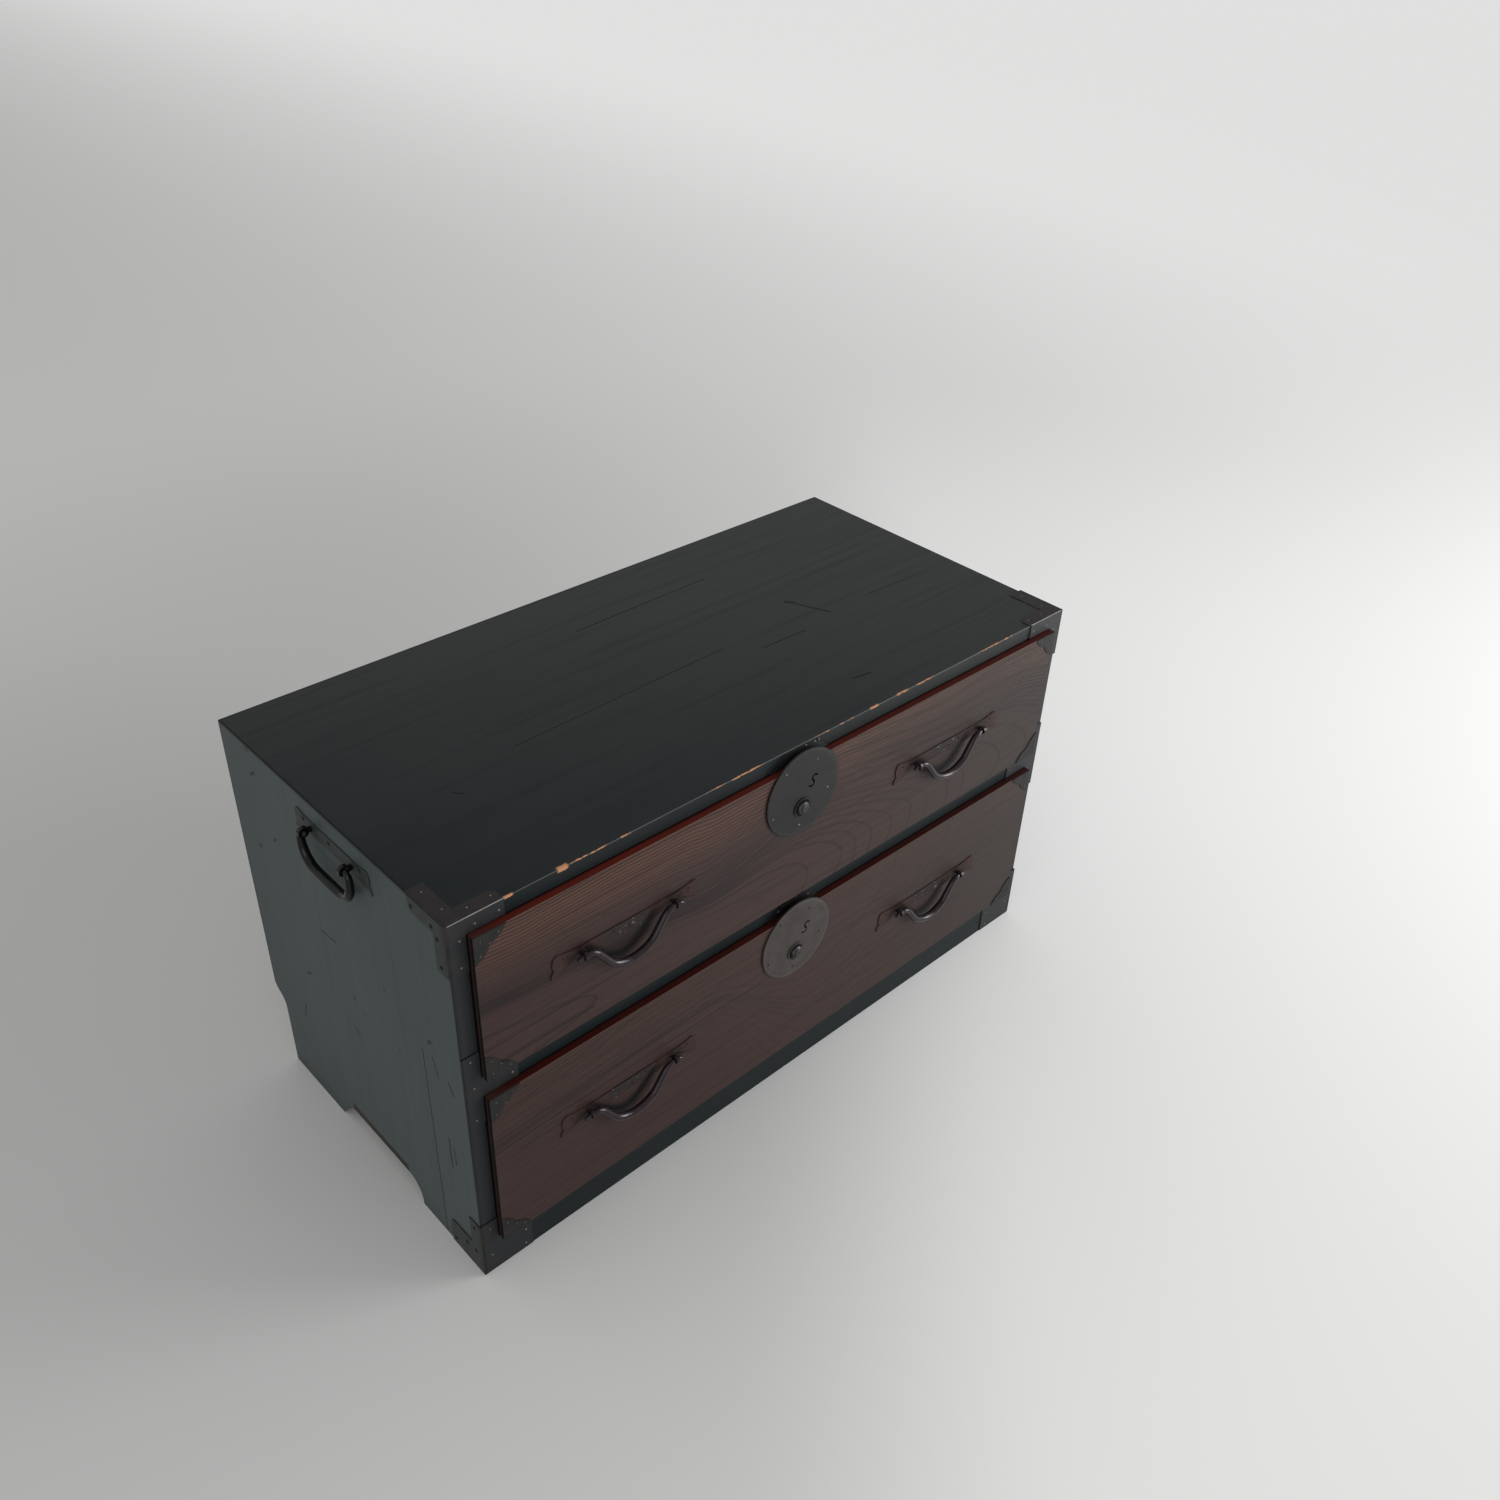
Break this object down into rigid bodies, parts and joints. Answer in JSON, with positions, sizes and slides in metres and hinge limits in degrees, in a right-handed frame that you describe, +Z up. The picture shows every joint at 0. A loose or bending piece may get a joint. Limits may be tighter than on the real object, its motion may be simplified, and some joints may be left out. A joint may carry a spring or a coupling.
{
  "type": "tansu chest",
  "caption": "Low lacquered wooden clothing chest with stacked full-width drawers, round iron locks, drop handles, side carrying handles and iron corner brackets.",
  "frame": {"origin": "on the floor, under the middle of the whole chest with its handles", "axes": "+Z up, -Y out of the drawer fronts, +X to the right as seen from the front"},
  "size_m": [0.9318, 0.4564, 0.4992],
  "materials": {
    "top_lacquer": "blue-black lacquer over fine grain, worn to bare wood in spots along the front edge",
    "side_lacquer": "thin dark green-grey lacquer, satin, with dents and scratches",
    "rail_lacquer": "dark blue-green lacquer, satin",
    "bare_cedar": "planed cedar, unlacquered, darkened with age",
    "keyaki_front": "reddish-brown wiped lacquer over strong arched grain, satin",
    "paulownia": "planed paulownia, unlacquered",
    "forged_bar": "forged bar, burnished black",
    "sheet_iron": "blackened sheet iron with a faint hammered surface",
    "lock_iron": "blackened iron rubbed grey-brown",
    "lock_works": "black iron, filed bright on the knob"
  },
  "bodies": {
    "case": {"top_board": "top_lacquer", "left_side_board": "side_lacquer", "right_side_board": "side_lacquer", "bottom_board": "bare_cedar", "divider_panel": "bare_cedar", "back_boards": "bare_cedar", "mid_rail": "rail_lacquer", "base_rail": "rail_lacquer", "upper_strike_plate": "lock_iron", "lower_strike_plate": "lock_iron", "left_top_bracket": "sheet_iron", "left_mid_bracket": "sheet_iron", "left_foot_bracket": "sheet_iron", "left_carrying_handle_plate": "sheet_iron", "left_carrying_handle_eye_pins": "forged_bar", "right_top_bracket": "sheet_iron", "right_mid_bracket": "sheet_iron", "right_foot_bracket": "sheet_iron", "right_carrying_handle_plate": "sheet_iron", "right_carrying_handle_eye_pins": "forged_bar"},
    "left_carrying_bail": {"left_carrying_handle_bail": "forged_bar"},
    "right_carrying_bail": {"right_carrying_handle_bail": "forged_bar"},
    "upper_drawer": {"upper_drawer_front": "keyaki_front", "upper_drawer_left_side": "paulownia", "upper_drawer_right_side": "paulownia", "upper_drawer_back": "paulownia", "upper_drawer_bottom": "paulownia", "upper_drawer_corner_plates": "sheet_iron", "upper_drawer_lock_plate": "lock_iron", "upper_drawer_lock_box": "lock_works", "upper_drawer_lock_spring": "lock_works", "upper_drawer_left_handle_plate": "sheet_iron", "upper_drawer_left_handle_eye_pins": "forged_bar", "upper_drawer_right_handle_plate": "sheet_iron", "upper_drawer_right_handle_eye_pins": "forged_bar"},
    "upper_lock_knob": {"upper_drawer_lock_knob": "lock_works"},
    "upper_lock_bolt": {"upper_drawer_lock_bolt": "lock_works"},
    "upper_left_bail": {"upper_drawer_left_handle_bail": "forged_bar"},
    "upper_right_bail": {"upper_drawer_right_handle_bail": "forged_bar"},
    "lower_drawer": {"lower_drawer_front": "keyaki_front", "lower_drawer_left_side": "paulownia", "lower_drawer_right_side": "paulownia", "lower_drawer_back": "paulownia", "lower_drawer_bottom": "paulownia", "lower_drawer_corner_plates": "sheet_iron", "lower_drawer_lock_plate": "lock_iron", "lower_drawer_lock_box": "lock_works", "lower_drawer_lock_spring": "lock_works", "lower_drawer_left_handle_plate": "sheet_iron", "lower_drawer_left_handle_eye_pins": "forged_bar", "lower_drawer_right_handle_plate": "sheet_iron", "lower_drawer_right_handle_eye_pins": "forged_bar"},
    "lower_lock_knob": {"lower_drawer_lock_knob": "lock_works"},
    "lower_lock_bolt": {"lower_drawer_lock_bolt": "lock_works"},
    "lower_left_bail": {"lower_drawer_left_handle_bail": "forged_bar"},
    "lower_right_bail": {"lower_drawer_right_handle_bail": "forged_bar"}
  },
  "joints": [
    {"name": "left_carrying_bail_swing", "type": "hinge", "parent": "case", "child": "left_carrying_bail", "pos_m": [-0.46, -0.00365, 0.467], "axis": [0, 1, 0], "range_deg": [0, 165]},
    {"name": "right_carrying_bail_swing", "type": "hinge", "parent": "case", "child": "right_carrying_bail", "pos_m": [0.46, -0.00365, 0.467], "axis": [0, -1, 0], "range_deg": [0, 165]},
    {"name": "upper_drawer_slide", "type": "slide", "parent": "case", "child": "upper_drawer", "axis": [0, -1, 0], "range_m": [0, 0.34]},
    {"name": "upper_lock_knob_turn", "type": "hinge", "parent": "upper_drawer", "child": "upper_lock_knob", "pos_m": [-0.0125, -0.21465, 0.423], "axis": [0, -1, 0], "range_deg": [0, 90]},
    {"name": "upper_lock_bolt_slide", "type": "slide", "parent": "upper_drawer", "child": "upper_lock_bolt", "axis": [0, 0, 1], "range_m": [0, 0.008]},
    {"name": "upper_left_bail_swing", "type": "hinge", "parent": "upper_drawer", "child": "upper_left_bail", "pos_m": [-0.254, -0.22265, 0.3934], "axis": [-1, 0, 0], "range_deg": [0, 165]},
    {"name": "upper_right_bail_swing", "type": "hinge", "parent": "upper_drawer", "child": "upper_right_bail", "pos_m": [0.237, -0.22265, 0.3934], "axis": [-1, 0, 0], "range_deg": [0, 165]},
    {"name": "lower_drawer_slide", "type": "slide", "parent": "case", "child": "lower_drawer", "axis": [0, -1, 0], "range_m": [0, 0.34]},
    {"name": "lower_lock_knob_turn", "type": "hinge", "parent": "lower_drawer", "child": "lower_lock_knob", "pos_m": [-0.007, -0.21465, 0.209], "axis": [0, -1, 0], "range_deg": [0, 90]},
    {"name": "lower_lock_bolt_slide", "type": "slide", "parent": "lower_drawer", "child": "lower_lock_bolt", "axis": [0, 0, 1], "range_m": [0, 0.008]},
    {"name": "lower_left_bail_swing", "type": "hinge", "parent": "lower_drawer", "child": "lower_left_bail", "pos_m": [-0.254, -0.22265, 0.1654], "axis": [-1, 0, 0], "range_deg": [0, 165]},
    {"name": "lower_right_bail_swing", "type": "hinge", "parent": "lower_drawer", "child": "lower_right_bail", "pos_m": [0.237, -0.22265, 0.1654], "axis": [-1, 0, 0], "range_deg": [0, 165]}
  ],
  "couplings": [
    {"joint": "upper_lock_knob_turn", "follows": "upper_lock_bolt_slide", "rad_per_m": 196.35},
    {"joint": "lower_lock_knob_turn", "follows": "lower_lock_bolt_slide", "rad_per_m": 196.35}
  ]
}
